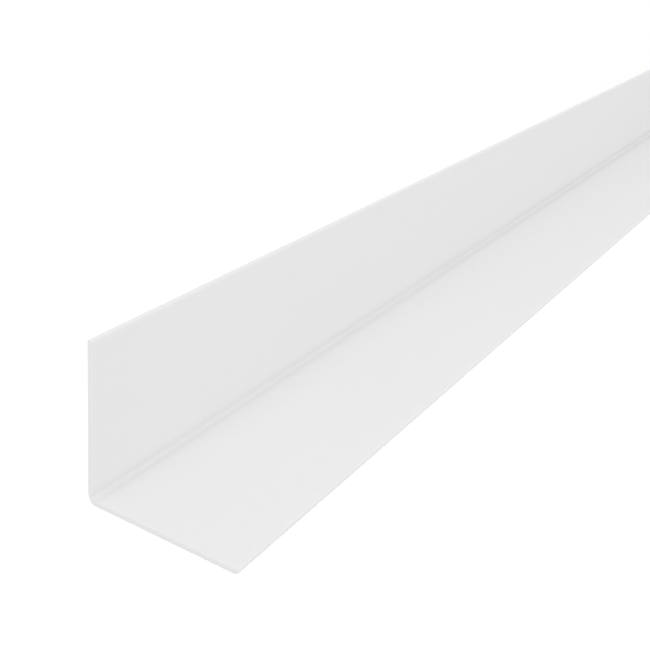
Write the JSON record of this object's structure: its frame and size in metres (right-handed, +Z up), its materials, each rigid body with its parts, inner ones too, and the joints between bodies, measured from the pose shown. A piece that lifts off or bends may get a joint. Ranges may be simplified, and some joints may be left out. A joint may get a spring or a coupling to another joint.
{
  "type": "corner guard moulding",
  "caption": "White plastic angle with equal legs, a rounded nose and full-round toes, which is fixed over an outside corner of a wall to protect it.",
  "frame": {"origin": "on the floor, midway along the length and midway across the floor leg", "axes": "+Y along the length, +X from the heel to the toe of the floor leg, +Z up the upright leg"},
  "size_m": [0.0508, 1.2192, 0.0508],
  "materials": {
    "white_plastic": "satin"
  },
  "bodies": {
    "root": {"corner_guard": "white_plastic"}
  },
  "joints": []
}
